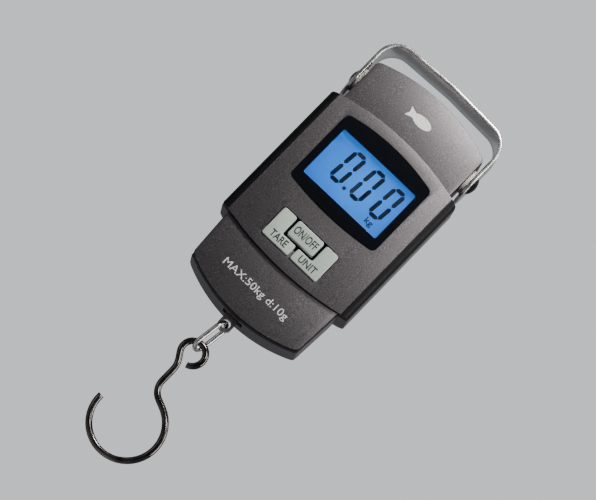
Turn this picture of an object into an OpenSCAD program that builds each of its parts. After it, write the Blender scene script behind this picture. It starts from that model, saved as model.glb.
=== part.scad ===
// Hanging digital fish scale: a two-shell case with a display and three buttons, hung from a
// plated strap handle on two pivot screws, with a wire link and hook under its load cell.
// Stored hanging: +Z up, +X right and -Y towards the reader of the display.
// The origin is the middle of the underside of the handle, where a hand or a rod carries it.

/* [Case] */
// Width of the raised middle section
mid_w = 67; // [65:0.5:70]
// Width of the lower top section, which the handle's legs lie against
top_w = 57.2; // [55:0.2:57.6]
// Width of the bottom section at its upper end
bottom_w = 58.4; // [56:0.2:60]
// Height of the whole case along its middle
case_h = 117.8; // [116:0.1:119]
// Height of the top section along its middle
top_h = 21.9; // [21.5:0.1:22.4]
// Height of the raised middle section along its middle
mid_h = 70.9; // [70:0.1:71.6]
// How far the raised face lies in front of the handle's pivot axis
front_y = 13; // [12.8:0.1:13.5]
// How far the back of the raised section lies behind the pivot axis
back_y = 15; // [15:0.1:16]
// Height of the raised section above the other two
step_y = 1.5; // [1:0.1:1.6]
// Plastic wall thickness
wall = 1.8; // [1.6:0.1:2]

/* [Handle] */
// Height of the grip above the pivot axis
pivot_drop = 21.5; // [21.5:0.1:22.5]
// Thickness of the steel strip
strap_t = 1.5; // [1.2:0.1:1.5]
// Width of the steel strip from front to back
strap_w = 18; // [14:0.5:18]
// Outer radius of the two bends of the strip
strap_bend = 10; // [8:0.5:11]
// How far the grip sags towards its ends
strap_bow = 1.6; // [1:0.1:2]
// Radius of the pivot screw's smooth neck
pivot_r = 2; // [1.5:0.1:2.5]
// Radius of the pivot screw's domed head
pivot_head_r = 4; // [3.5:0.1:4.5]

/* [Display] */
// Width of the gloss lens
lens_w = 45; // [44:0.5:46]
// Height of the gloss lens along its middle
lens_h = 37.7; // [37:0.1:38]
// Width of the visible liquid crystal area
lcd_w = 38.6; // [36:0.2:39]
// Height of the visible liquid crystal area
lcd_h = 23.7; // [22:0.1:24]

/* [Buttons] */
// Width of the block of three buttons
button_block_w = 28.8; // [28:0.2:29.4]
// Height of the block of three buttons
button_block_h = 13.8; // [13.4:0.1:14.4]
// Width of the on and off button
on_off_w = 13.4; // [12:0.2:14]
// Height of the on and off button
on_off_h = 7.4; // [7:0.1:7.8]
// Gap between neighbouring buttons
button_gap = 1.2; // [0.9:0.1:1.3]
// Height of the buttons above the face
button_proud = 0.5; // [0.3:0.1:0.6]

/* [Hook and link] */
// Radius of the hook's bowl to the middle of its wire
hook_r = 14.8; // [12:0.2:14.8]
// Radius of the hook's wire
hook_wire_r = 1.4; // [1.2:0.1:1.5]
// Radius of the hook's eye to the middle of its wire
hook_eye_r = 5; // [4.8:0.1:5.2]
// Radius of the link's wire
link_wire_r = 1; // [0.8:0.1:1]
// Length of the link to the middle of its wire at both ends
link_len = 15.5; // [15:0.1:16]
// Distance between the link's two strands
link_gap = 6.6; // [6.4:0.1:6.8]
// Turn of the link about its long axis, in degrees
link_turn = 24; // [0:1:24]

/* [Hidden] */

$fn = 64;
e = 0.5;                                // overshoot of a cutting tool past the face it cuts
gap = 0.1;                              // play between pieces that only lie beside each other
far = 400;                              // longer than anything it clips

// Case levels, measured along the middle from the top of the case
top_z = -7.9;
mid_top_z = top_z - top_h;
mid_bottom_z = mid_top_z - mid_h;
bottom_z = top_z - case_h;
pivot_z = -pivot_drop;

// How far each curved edge falls back at the sides
top_bow = 5.2;
mid_top_bow = 4.6;
mid_bottom_bow = 4.2;
bottom_bow = 6.6;
crown_r = 450;                          // radius of the bowed face, seen from above
parting_y = -6.5;                       // where the two shells meet
roll = 3.2;                             // chamfer along the sides of the raised face
low_front_y = front_y - step_y;
low_back_y = back_y - step_y - gap;
inner_front_y = front_y - wall;
inner_back_y = back_y - wall;

// Handle strip
strap_in_x = top_w / 2 + 1.6;
strap_out_x = strap_in_x + strap_t;
strap_end_r = strap_w / 2 + 0.6;
pivot_hole_r = pivot_r + 0.06;

// Display stack, from the lens back to the board
lens_top_z = mid_top_z - 5.1;
lens_recess = 0.15;
lens_t = 1.15;
lens_strips = 30;
lens_seat_y = front_y - lens_t - lens_recess;
lcd_mid_z = lens_top_z - 19.6;
glass_y = 10.4;
glass_t = 1.8;
backlight_t = 2.4;
frame_w = lens_w + 3;
frame_h = 33;
board_y = 5.8;
board_t = 1.2;
board_w = 47;
board_top_z = -38;
board_bottom_z = -98;

// Buttons
button_top_z = mid_top_z - 51.7;
button_play = 0.35;                     // between the block and the edge of its opening
button_lip = 1;                         // lip behind the cover that keeps a button in
lip_t = 0.8;
plunger_r = 1.6;
button_rear_y = 9;
switch_body = [5, 1.6, 4.4];
switch_knob_r = 1.2;
switch_y = 8.3;                         // front of a switch's knob
switch_z = button_top_z - on_off_h / 2;
side_switch_z = button_top_z - button_block_h + 2.8;
side_switch_x = 8.5;

// Load cell and its cross bar
cell_w = 18;
cell_front_y = 3.2;
cell_t = 5;
cell_top_z = pivot_z + 3;
cell_bottom_z = -107;
bar_size = 9;
bar_half = top_w / 2 - wall - 0.4;
cell_screw_x = 5.5;
cell_screw_r = 1.5;
cell_head_r = 2.8;
cell_head_t = 1.6;
lower_screw_z = cell_bottom_z + 4;
waist_z = -62;                          // middle of the thinned part of the cell
waist_hole_r = 5.5;
waist_half = 8;                         // from its middle to each of its two holes
gauge_size = [2.4, 0.2, 5];
gauge_x = 7.2;

// Load eye, link and hook
eye_w = 6;
eye_t = 2.4;
eye_hole_r = 1.9;
eye_z = -129.2;
eye_end_r = 3.3;                        // rounded end of the tongue
eye_pad_w = 17;                         // pad that is screwed to the load cell
eye_pad_t = 2;
eye_pad_h = 14;
eye_pad_bottom_z = cell_bottom_z - 6;
eye_step_h = 5.5;                       // joggle from the pad back to the load line
link_top_z = eye_z + 0.2;
link_lean = 8;                          // lean of the link to the left, in degrees
link_bend_r = link_gap / 2;
hook_play = 0.55;                       // between the hook's eye and the link
hook_eye_x = -1.3;
hook_eye_z = link_top_z - link_len * cos(link_lean) + hook_wire_r + link_wire_r + hook_play
    - hook_eye_r;
hook_x = -0.8;                          // middle of the hook's bowl
hook_z = hook_eye_z - 37.3;
tip_turn = -183.5;                      // where the bowl ends at the hook's point, in degrees

// The hook's shank, with one bend up to the eye and one down to the bowl
shank_x = -2.45;
eye_from = -76;                         // the eye's open end and where it leaves for the shank
eye_to = 213;
joint_reach = 0.2;                      // how far a straight run reaches into a bend
joint_step = 0.02;                      // how much thinner it is
neck_r = 9;
neck_turn = eye_to + 90 - 270;
neck_x = shank_x - neck_r;
neck_z = hook_eye_z
    - (hook_eye_r + neck_r + (neck_x - hook_eye_x) * cos(neck_turn)) / sin(neck_turn);
foot_r = 7;
foot_x = shank_x + foot_r;
foot_z = hook_z + 21.4;
// Turn at the foot that makes the run into the bowl touch both bends
foot_turn = asin((foot_r + hook_r) / norm([foot_x - hook_x, foot_z - hook_z]))
    - atan2(foot_x - hook_x, foot_z - hook_z);

// Batteries: two AAA cells side by side behind the load cell
battery_r = 5.25;
battery_len = 44.5;
battery_x = 5.6;
tray_y = 2.2;
tray_t = 0.8;
battery_y = tray_y + tray_t + gap + battery_r;
tray_top_z = -48.5;
tray_bottom_z = -97.3;
tray_half = 11.3;
tray_wall = 1.2;
contact_t = 0.4;
contact_w = 9.8;
contact_h = 9.4;
spring_len = 3.2;
door_half = 13.6;
door_top_z = -47;
door_bottom_z = -99.4;
door_t = 1.3;
door_play = 0.2;
tongue_w = 1.2;                         // tongues that slide in grooves of the back cover
tongue_t = 0.5;
tongue_top_z = -68;
tongue_bottom_z = -94;

// Screws through the case, at x and z, and the screws of the board
case_screw_spots = [[17.5, -13.3], [28.4, -64], [20.5, -112]];
board_screw_spots = [[20.5, -74.5], [20.5, -94]];
boss_r = 3.2;
rear_boss_r = 3.6;
boss_root_y = 10.7;
post_r = 2.3;                           // posts that carry the board
screw_r = 1.2;
screw_head_r = 2.2;
screw_recess_r = 2.5;
screw_tip_y = 10.4;
board_screw_r = 1;
board_head_r = 1.9;
screw_seat_y = 2;

// Routes of the wires inside the case
battery_wire_route = [[-10.2, 4.2, -47.9], [-10.6, 4, -45.5], [-13, 2, -42.5], [-15, -1, -40.5],
    [-15, -3.4, -39.6]];
gauge_wire_route = [[-6, -3.9, -62], [-11, -3.6, -60], [-14, -3, -54], [-16, -3.4, -50]];
cable_r = 0.45;

function bow_radius(half, bow) = (half * half + bow * bow) / (2 * bow);

function unit(v) = v / norm(v);

// Direction of a route at one of its points
function route_dir(route, i) =
    unit(route[min(i + 1, len(route) - 1)] - route[max(i - 1, 0)]);

// A thin cable along a route; side is any direction that the route never runs along
module cable(route, side, sides = 8) {
    n = len(route);
    points = [for (i = [0:n - 1])
        let (t = route_dir(route, i), u = unit(cross(t, side)), w = cross(u, t))
        for (k = [0:sides - 1]) let (a = 360 * k / sides)
            route[i] + cable_r * (cos(a) * w + sin(a) * u)];
    around = [for (i = [0:n - 2], k = [0:sides - 1])
        let (next = (k + 1) % sides, a = i * sides + k, b = i * sides + next)
        for (triangle = [[a, b, b + sides], [a, b + sides, a + sides]]) triangle];
    ends = [[for (k = [sides - 1:-1:0]) k], [for (k = [0:sides - 1]) (n - 1) * sides + k]];
    polyhedron(points, concat(around, ends));
}

// A point on a circle in the XZ plane, as [x, z]
function on_circle(x, z, r, angle) = [x + r * cos(angle), z + r * sin(angle)];

// A bend of round wire in the XZ plane about x and z, between two angles
module wire_bend(x, z, r, from, to, wire_r) {
    translate([x, 0, z]) rotate([90, 0, 0]) rotate([0, 0, from])
        rotate_extrude(angle = to - from) translate([r, 0]) circle(wire_r);
}

// A straight round wire between the ends of two bends, at [x, z] points. It is a hair thinner than
// the bends and reaches a little way into them, so that the whole wire is one solid.
module wire_run(from, to, wire_r) {
    run = to - from;
    translate([from[0], 0, from[1]]) rotate([0, atan2(run[0], run[1]), 0])
        translate([0, 0, -joint_reach])
        cylinder(r = wire_r - joint_step, h = norm(run) + 2 * joint_reach);
}

// A plate in the XZ plane with bowed upper and lower edges, between two y values
module bowed_outline(half, top, top_bow, bottom, bottom_bow) {
    intersection() {
        translate([-half, bottom - 1]) square([2 * half, top - bottom + 2]);
        translate([0, top - bow_radius(half, top_bow)]) circle(bow_radius(half, top_bow), $fn = 200);
        translate([0, bottom + bow_radius(half, bottom_bow)])
            circle(bow_radius(half, bottom_bow), $fn = 200);
    }
}

module slab(from_y, to_y) {
    translate([0, to_y, 0]) rotate([90, 0, 0]) linear_extrude(to_y - from_y) children();
}

module y_cylinder(x, z, r, from_y, to_y) {
    translate([x, to_y, z]) rotate([90, 0, 0]) cylinder(r = r, h = to_y - from_y);
}

module x_cylinder(from_x, to_x, r) {
    translate([from_x, 0, pivot_z]) rotate([0, 90, 0]) cylinder(r = r, h = to_x - from_x);
}

module both_sides() {
    children();
    mirror([1, 0, 0]) children();
}

// Outlines of the three sections, moved in by a wall thickness for the hollow
module mid_outline(inset = 0) {
    bowed_outline(mid_w / 2 - inset, mid_top_z - inset, mid_top_bow, mid_bottom_z + inset,
        mid_bottom_bow);
}

module top_outline(inset = 0) {
    bowed_outline(top_w / 2 - inset, top_z - inset, top_bow, mid_top_z - 12, 4);
}

module bottom_outline(inset = 0) {
    intersection() {
        bowed_outline(bottom_w / 2 - inset, mid_bottom_z + 16, 4, bottom_z + inset, bottom_bow);
        // The sides draw in a little towards the lower end
        polygon([[-bottom_w / 2 + inset, mid_bottom_z + 20], [bottom_w / 2 - inset, mid_bottom_z + 20],
            [bottom_w / 2 - inset, mid_bottom_z], [bottom_w / 2 - 1.2 - inset, bottom_z - 1],
            [-bottom_w / 2 + 1.2 + inset, bottom_z - 1], [-bottom_w / 2 + inset, mid_bottom_z]]);
    }
}

// Everything behind a bowed face with chamfered sides, as a bar along Z
module crown(half, face_y, chamfer) {
    translate([0, 0, -far / 2]) linear_extrude(far) intersection() {
        translate([0, crown_r - face_y]) circle(crown_r, $fn = 1600);
        polygon([[-half, 2 * back_y], [-half, chamfer - face_y], [chamfer - half, -face_y],
            [half - chamfer, -face_y], [half, chamfer - face_y], [half, 2 * back_y]]);
    }
}

// Outline of the lens, with bowed upper and lower edges
module lens_outline(extra = 0) {
    bowed_outline(lens_w / 2 + extra, lens_top_z + extra, 3, lens_top_z - lens_h - extra, 2.1);
}

module button_block(extra = 0) {
    translate([-button_block_w / 2 - extra, button_top_z - button_block_h - extra])
        square([button_block_w + 2 * extra, button_block_h + 2 * extra]);
}

module on_off_outline() {
    translate([-on_off_w / 2, button_top_z - on_off_h]) square([on_off_w, on_off_h]);
}

// The left button wraps round the corner of the on and off button
module side_outline() {
    difference() {
        translate([-button_block_w / 2, button_top_z - button_block_h])
            square([(button_block_w - button_gap) / 2, button_block_h]);
        translate([-on_off_w / 2 - button_gap, button_top_z - on_off_h - button_gap])
            square([on_off_w, far]);
    }
}

// A cap through the cover, a lip behind it and a plunger over its switch
module button(plunger_x, plunger_z) {
    cap_y = front_y + button_proud;
    slab(-cap_y, -inner_front_y + 0.4) children(0);
    slab(-inner_front_y + 0.3, -inner_front_y + 0.3 + lip_t) children(1);
    y_cylinder(plunger_x, plunger_z, plunger_r, -inner_front_y + lip_t, -button_rear_y);
}

module handle_strap() {
    color("silver") difference() {
        intersection() {
            slab(-strap_w / 2, strap_w / 2) difference() {
                strap_outline(strap_out_x, strap_t, strap_bend);
                strap_outline(strap_in_x, 0, strap_bend - strap_t);
            }
            union() {
                translate([-far / 2, -strap_w / 2, pivot_z]) cube([far, strap_w, far / 2]);
                translate([-far / 2, 0, pivot_z]) rotate([0, 90, 0]) cylinder(r = strap_end_r, h = far);
            }
        }
        x_cylinder(-far / 2, far / 2, pivot_hole_r);
    }
}

// Outline of the bent strip down to below the pivot, filled; rise is its height over the grip
module strap_outline(half, rise, bend) {
    grip_r = bow_radius(half, strap_bow);
    corner_z = rise - strap_bow * 0.8 - bend;
    points = concat(
        [[half, pivot_z - far / 4]],
        [for (a = [0:10:80]) [half - bend + bend * cos(a), corner_z + bend * sin(a)]],
        [for (i = [0:12]) let (x = (half - bend - 0.8) * (1 - i / 6))
            [x, rise - grip_r + sqrt(grip_r * grip_r - x * x)]],
        [for (a = [100:10:180]) [bend - half + bend * cos(a), corner_z + bend * sin(a)]],
        [[-half, pivot_z - far / 4]]);
    polygon(points);
}

module pivot_screws() {
    color("#18181a") both_sides() {
        // Domed head, smooth neck in the strip and thread in the cross bar
        translate([strap_out_x + gap, 0, pivot_z]) rotate([0, 90, 0]) rotate_extrude() intersection() {
            translate([0, -4.6]) circle(6.2);
            square([pivot_head_r, 1.6]);
        }
        x_cylinder(top_w / 2 - wall, strap_out_x + gap + 0.05, pivot_r);
        x_cylinder(16, top_w / 2 - wall, cell_screw_r);
    }
}

module pivot_washers() {
    color("#e8e4d8") both_sides() difference() {
        x_cylinder(top_w / 2, strap_in_x - gap, 5.5);
        x_cylinder(0, far, pivot_r + 0.05);
    }
}

module cross_bar() {
    color("#8d9196") difference() {
        translate([-bar_half, -bar_size / 2, pivot_z - bar_size / 2])
            cube([2 * bar_half, bar_size, bar_size]);
        // Slot that takes the head of the load cell
        translate([-cell_w / 2 - gap, -cell_front_y - gap, pivot_z - bar_size])
            cube([cell_w + 2 * gap, cell_t + 2 * gap, bar_size + cell_top_z - pivot_z + gap]);
        both_sides() x_cylinder(16, far, cell_screw_r);
        for (x = [-cell_screw_x, cell_screw_x])
            y_cylinder(x, pivot_z, cell_screw_r, -bar_size, bar_size);
    }
}

module shell_solid() {
    intersection() {
        slab(-low_front_y, low_back_y) union() {
            top_outline();
            bottom_outline();
        }
        crown(mid_w / 2, low_front_y, 0.6);
    }
    intersection() {
        slab(-front_y, back_y) mid_outline();
        crown(mid_w / 2, front_y, roll);
    }
}

module shell_hollow() {
    intersection() {
        slab(wall - low_front_y, low_back_y - wall) union() {
            top_outline(wall);
            bottom_outline(wall);
        }
        crown(mid_w / 2, low_front_y - wall, 0.6);
    }
    intersection() {
        slab(-inner_front_y, inner_back_y) mid_outline(wall);
        crown(mid_w / 2 - wall, inner_front_y, roll - 0.6);
    }
}

// Holes that both shells share: the pivot screws' necks and the load eye's way out
module shell_passages() {
    both_sides() x_cylinder(top_w / 2 - wall - e, far, pivot_r + 0.6);
    translate([-eye_w / 2 - 0.5, -eye_t / 2 - 0.5, bottom_z - 5]) cube([eye_w + 1, eye_t + 1, 10]);
    translate([-5, -4, bottom_z - 5]) cube([10, 8, 6]);
}

module front_cover() {
    color("#5a5655") difference() {
        union() {
            // Posts for the board
            both_sides() for (s = board_screw_spots)
                y_cylinder(s[0], s[1], post_r, -inner_front_y - 0.4, -board_y);
            difference() {
                shell_solid();
                shell_hollow();
                translate([-far / 2, parting_y, -far / 2]) cube([far, far, far]);
            }
            both_sides() for (s = case_screw_spots)
                y_cylinder(s[0], s[1], boss_r, -boss_root_y, parting_y);
        }
        both_sides() for (s = case_screw_spots) y_cylinder(s[0], s[1], screw_r, -10.5, 0);
        both_sides() for (s = board_screw_spots) y_cylinder(s[0], s[1], board_screw_r, -10.7, 0);
        // Seat and window of the lens, then the opening for the buttons
        slab(-far / 2, -lens_seat_y) lens_outline(gap);
        slab(-far / 2, 0) translate([-lcd_w / 2 - 1, lcd_mid_z - lcd_h / 2 - 1])
            square([lcd_w + 2, lcd_h + 2]);
        slab(-far / 2, -inner_front_y + e) button_block(button_play);
        shell_passages();
    }
}

module back_cover() {
    color("#6d666b") difference() {
        union() {
            difference() {
                shell_solid();
                shell_hollow();
            }
            intersection() {
                both_sides() for (s = case_screw_spots)
                    y_cylinder(s[0], s[1], rear_boss_r, parting_y, back_y);
                shell_solid();
            }
            battery_tray();
        }
        translate([-far / 2, parting_y - far, -far / 2]) cube([far, far, far]);
        both_sides() for (s = case_screw_spots) {
            y_cylinder(s[0], s[1], screw_r + 0.2, parting_y - e, screw_seat_y + e);
            y_cylinder(s[0], s[1], screw_recess_r, screw_seat_y, far / 2);
        }
        // Battery room, the door's place over it and the grooves for the door's tongues
        translate([-tray_half, tray_y + tray_t, tray_bottom_z])
            cube([2 * tray_half, far, tray_top_z - tray_bottom_z]);
        translate([-door_half - door_play, back_y - door_t - gap, mid_bottom_z - 2])
            cube([2 * (door_half + door_play), far, door_top_z + door_play - mid_bottom_z + 2]);
        translate([-door_half - tongue_w - door_play, back_y - door_t + 0.05, mid_bottom_z - 2])
            cube([2 * (door_half + tongue_w + door_play), tongue_t + 0.25,
                tongue_top_z + 4.3 - mid_bottom_z + 2]);
        // Holes in the tray's upper wall for the battery wires
        both_sides() translate([9.4, 3.4, tray_top_z - e]) cube([1.6, 1.6, 3]);
        shell_passages();
    }
}

module battery_tray() {
    translate([-tray_half - tray_wall, tray_y, tray_bottom_z - tray_wall])
        cube([2 * (tray_half + tray_wall), inner_back_y - tray_y + 0.2,
            tray_top_z - tray_bottom_z + 2 * tray_wall]);
}

// A lens bowed like the face, in narrow flat strips
module display_lens() {
    bowed_front = [for (i = [0:lens_strips]) let (x = lens_w * (i / lens_strips - 0.5))
        [x, lens_recess - front_y + crown_r - sqrt(crown_r * crown_r - x * x)]];
    color("#10131a") intersection() {
        slab(-front_y, -lens_seat_y) lens_outline();
        translate([0, 0, -far / 2]) linear_extrude(far)
            polygon(concat(bowed_front, [[lens_w / 2, 0], [-lens_w / 2, 0]]));
    }
}

module lcd_glass() {
    color("#4a93dc") translate([-lens_w / 2 + 0.5, -glass_y, lcd_mid_z - 14.8])
        cube([lens_w - 1, glass_t, 29.6]);
}

module lcd_backlight() {
    color("#cfe6ff") translate([-21.5, glass_t - glass_y, lcd_mid_z - 11.5])
        cube([43, backlight_t, 26]);
}

module lcd_frame() {
    color("#e9e9e4") difference() {
        translate([-frame_w / 2, -glass_y - gap, lcd_mid_z - frame_h / 2])
            cube([frame_w, glass_y + gap - board_y, frame_h]);
        translate([-lens_w / 2 + 0.4, -glass_y, lcd_mid_z - 14.9]) cube([lens_w - 0.8, far, 29.8]);
        translate([-lcd_w / 2 - 0.5, -far / 2, lcd_mid_z - lcd_h / 2 - 0.5])
            cube([lcd_w + 1, far, lcd_h + 1]);
    }
}

module zebra_strip() {
    color("#c9a0a8") translate([-18, glass_t - glass_y, lcd_mid_z - 14.4])
        cube([36, glass_y - glass_t - board_y, 2.4]);
}

module circuit_board() {
    color("#1f6b3a") difference() {
        translate([-board_w / 2, -board_y, board_bottom_z])
            cube([board_w, board_t, board_top_z - board_bottom_z]);
        both_sides() for (s = board_screw_spots)
            y_cylinder(s[0], s[1], board_screw_r + 0.15, -far / 2, far / 2);
    }
}

module controller_chip() {
    // A blob of black resin over the bare chip
    color("#101010") translate([14, board_t - board_y, -60]) rotate([-90, 0, 0])
        rotate_extrude() intersection() {
            translate([0, -12]) circle(13, $fn = 240);
            square([8, 2]);
        }
}

module tact_switches() {
    color("#b9bcc2") for (s = [[0, switch_z], [-side_switch_x, side_switch_z],
            [side_switch_x, side_switch_z]]) {
        translate([s[0], -board_y, s[1]] - [switch_body[0] / 2, switch_body[1], switch_body[2] / 2])
            cube(switch_body);
        y_cylinder(s[0], s[1], switch_knob_r, -switch_y, -board_y - switch_body[1]);
    }
}

module on_off_button() {
    color("#c4cec2") button(0, switch_z) {
        on_off_outline();
        // Lip to the top only, where no other button is in the way
        translate([-on_off_w / 2 + 1, button_top_z - on_off_h + 1])
            square([on_off_w - 2, on_off_h + button_lip - 0.2]);
    }
}

module tare_button() {
    color("#c4cec2") button(-side_switch_x, side_switch_z) {
        side_outline();
        translate([-button_block_w / 2 - button_lip, button_top_z - button_block_h - button_lip])
            square([(button_block_w - button_gap) / 2 + button_lip - 0.2, 5]);
    }
}

module unit_button() {
    mirror([1, 0, 0]) tare_button();
}

module load_cell() {
    color("#c3c7cb") difference() {
        translate([-cell_w / 2, -cell_front_y, cell_bottom_z])
            cube([cell_w, cell_t, cell_top_z - cell_bottom_z]);
        // Two joined holes thin the beam where the gauges sit
        for (z = [waist_z - waist_half, waist_z + waist_half])
            y_cylinder(0, z, waist_hole_r, -far / 2, far / 2);
        translate([-2, -far / 2, waist_z - waist_half]) cube([4, far, 2 * waist_half]);
        for (x = [-cell_screw_x, cell_screw_x], z = [pivot_z, lower_screw_z])
            y_cylinder(x, z, cell_screw_r, -far / 2, far / 2);
    }
}

module strain_gauges() {
    color("#d08a3c") for (x = [-gauge_x, gauge_x], z = [waist_z - waist_half, waist_z + waist_half])
        translate([x, -cell_front_y, z] - [gauge_size[0] / 2, gauge_size[1], gauge_size[2] / 2])
            cube(gauge_size);
}

module cell_screws() {
    color("#9da1a6") for (x = [-cell_screw_x, cell_screw_x]) {
        y_cylinder(x, pivot_z, cell_screw_r, -bar_size / 2, bar_size / 2);
        y_cylinder(x, pivot_z, cell_head_r, bar_size / 2, bar_size / 2 + cell_head_t);
        y_cylinder(x, lower_screw_z, cell_screw_r, -cell_front_y - eye_pad_t,
            cell_t - cell_front_y);
        y_cylinder(x, lower_screw_z, cell_head_r, cell_t - cell_front_y,
            cell_t - cell_front_y + cell_head_t);
    }
}

// A plate on the front of the load cell, joggled back to the load line and drilled for the link
module load_eye() {
    color("#1b1b1d") difference() {
        union() {
            translate([-eye_pad_w / 2, -cell_front_y - eye_pad_t, eye_pad_bottom_z]) {
                cube([eye_pad_w, eye_pad_t, eye_pad_h]);
                cube([eye_pad_w, cell_front_y + eye_pad_t + eye_t / 2, eye_step_h]);
            }
            translate([-eye_w / 2, -eye_t / 2, eye_z])
                cube([eye_w, eye_t, eye_pad_bottom_z + eye_step_h - 1 - eye_z]);
            intersection() {
                y_cylinder(0, eye_z, eye_end_r, -eye_t / 2, eye_t / 2);
                translate([-eye_w / 2, -far / 2, -far / 2]) cube([eye_w, far, far]);
            }
        }
        y_cylinder(0, eye_z, eye_hole_r, -far / 2, far / 2);
        for (x = [-cell_screw_x, cell_screw_x])
            y_cylinder(x, lower_screw_z, cell_screw_r, -far / 2, far / 2);
    }
}

// Oblong loop of wire, turned about its long axis and leaning from the load eye
module link() {
    lower_z = 2 * link_bend_r - link_len;
    color("#d9d9dc") translate([0, 0, link_top_z]) rotate([0, link_lean, 0])
        rotate([0, 0, 90 - link_turn]) translate([0, 0, -link_bend_r]) {
            wire_bend(0, 0, link_bend_r, 0, 180, link_wire_r);
            wire_bend(0, lower_z, link_bend_r, 180, 360, link_wire_r);
            for (x = [-link_bend_r, link_bend_r]) wire_run([x, lower_z], [x, 0], link_wire_r);
        }
}

// One bent wire: the eye round the link, a short neck, the shank and the bowl
module hook() {
    color("#d9d9dc") {
        wire_bend(hook_eye_x, hook_eye_z, hook_eye_r, eye_from, eye_to, hook_wire_r);
        wire_run(on_circle(hook_eye_x, hook_eye_z, hook_eye_r, eye_to),
            on_circle(neck_x, neck_z, neck_r, neck_turn), hook_wire_r);
        wire_bend(neck_x, neck_z, neck_r, 0, neck_turn, hook_wire_r);
        wire_run([shank_x, neck_z], [shank_x, foot_z], hook_wire_r);
        wire_bend(foot_x, foot_z, foot_r, 180, 180 + foot_turn, hook_wire_r);
        wire_run(on_circle(foot_x, foot_z, foot_r, 180 + foot_turn),
            on_circle(hook_x, hook_z, hook_r, foot_turn), hook_wire_r);
        wire_bend(hook_x, hook_z, hook_r, tip_turn, foot_turn, hook_wire_r);
    }
}

module battery_door() {
    color("#6d666b") difference() {
        union() {
            translate([-door_half, back_y - door_t, door_bottom_z])
                cube([2 * door_half, door_t, door_top_z - door_bottom_z]);
            translate([-door_half - tongue_w, back_y - door_t + door_play, tongue_bottom_z])
                cube([2 * (door_half + tongue_w), tongue_t, tongue_top_z - tongue_bottom_z]);
        }
        // Grooves for the thumb
        for (z = [-58:2.2:-51]) translate([-7, back_y - 0.5, z]) cube([14, 1, 1.1]);
    }
}

module battery_cell() {
    rotate_extrude() {
        square([battery_r, battery_len - 1]);
        square([1.9, battery_len]);
    }
}

module batteries() {
    color("#3c6e4a") {
        translate([-battery_x, battery_y, tray_top_z - contact_t - gap - battery_len]) battery_cell();
        translate([battery_x, battery_y, tray_bottom_z + contact_t + gap + battery_len])
            mirror([0, 0, 1]) battery_cell();
    }
}

module battery_contacts() {
    color("#c9c4b0") {
        for (z = [tray_top_z - contact_t, tray_bottom_z])
            for (x = [-10.4, 0.6])
                translate([x, tray_y + tray_t + 0.4, z]) cube([contact_w, contact_h, contact_t]);
    }
}

module battery_springs() {
    color("#cfcfd2") for (s = [-1, 1])
        translate([s * battery_x, battery_y,
                s < 0 ? tray_bottom_z + contact_t : tray_top_z - contact_t - spring_len])
            difference() {
                cylinder(r = 3.2, h = spring_len);
                translate([0, 0, -e]) cylinder(r = 2.6, h = spring_len + 2 * e);
            }
}

module case_screws() {
    color("#2a2a2c") both_sides() for (s = case_screw_spots) {
        y_cylinder(s[0], s[1], screw_r, -screw_tip_y, screw_seat_y);
        y_cylinder(s[0], s[1], screw_head_r, screw_seat_y, screw_seat_y + 1.8);
    }
}

module board_screws() {
    color("#b0b3b8") both_sides() for (s = board_screw_spots) {
        y_cylinder(s[0], s[1], board_screw_r, -screw_tip_y, board_t - board_y);
        y_cylinder(s[0], s[1], board_head_r, board_t - board_y, board_t - board_y + 1.2);
    }
}

module gauge_wires() {
    color("#c23b3b") cable(gauge_wire_route, [0, 1, 0]);
}

module battery_wires() {
    color("#b02020") both_sides() cable(battery_wire_route, [1, 0, 0]);
}

handle_strap();
pivot_screws();
pivot_washers();
cross_bar();
front_cover();
back_cover();
display_lens();
lcd_glass();
lcd_backlight();
lcd_frame();
zebra_strip();
circuit_board();
controller_chip();
tact_switches();
on_off_button();
tare_button();
unit_button();
load_cell();
strain_gauges();
cell_screws();
load_eye();
link();
hook();
battery_door();
batteries();
battery_contacts();
battery_springs();
case_screws();
board_screws();
gauge_wires();
battery_wires();
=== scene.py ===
"""A hanging digital fish scale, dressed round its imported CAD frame."""
import math

import bmesh
import bpy
from mathutils import Matrix, Vector


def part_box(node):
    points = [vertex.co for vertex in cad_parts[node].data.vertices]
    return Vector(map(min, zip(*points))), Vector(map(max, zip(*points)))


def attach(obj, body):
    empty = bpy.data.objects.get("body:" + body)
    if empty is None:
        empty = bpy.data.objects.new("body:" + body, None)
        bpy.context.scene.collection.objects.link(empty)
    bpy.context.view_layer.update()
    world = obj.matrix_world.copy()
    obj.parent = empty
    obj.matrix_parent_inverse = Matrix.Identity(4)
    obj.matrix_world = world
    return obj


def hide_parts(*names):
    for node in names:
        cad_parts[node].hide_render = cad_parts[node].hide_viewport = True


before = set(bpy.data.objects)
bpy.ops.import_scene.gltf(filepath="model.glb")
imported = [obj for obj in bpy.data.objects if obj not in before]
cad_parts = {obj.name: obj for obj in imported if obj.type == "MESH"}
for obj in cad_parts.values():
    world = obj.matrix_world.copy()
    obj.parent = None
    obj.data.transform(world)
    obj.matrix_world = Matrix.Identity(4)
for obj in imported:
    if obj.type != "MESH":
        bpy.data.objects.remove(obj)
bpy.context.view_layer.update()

MM = 0.001
TOUCH = 1e-7                            # closer than this, in metres, is the same level

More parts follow.
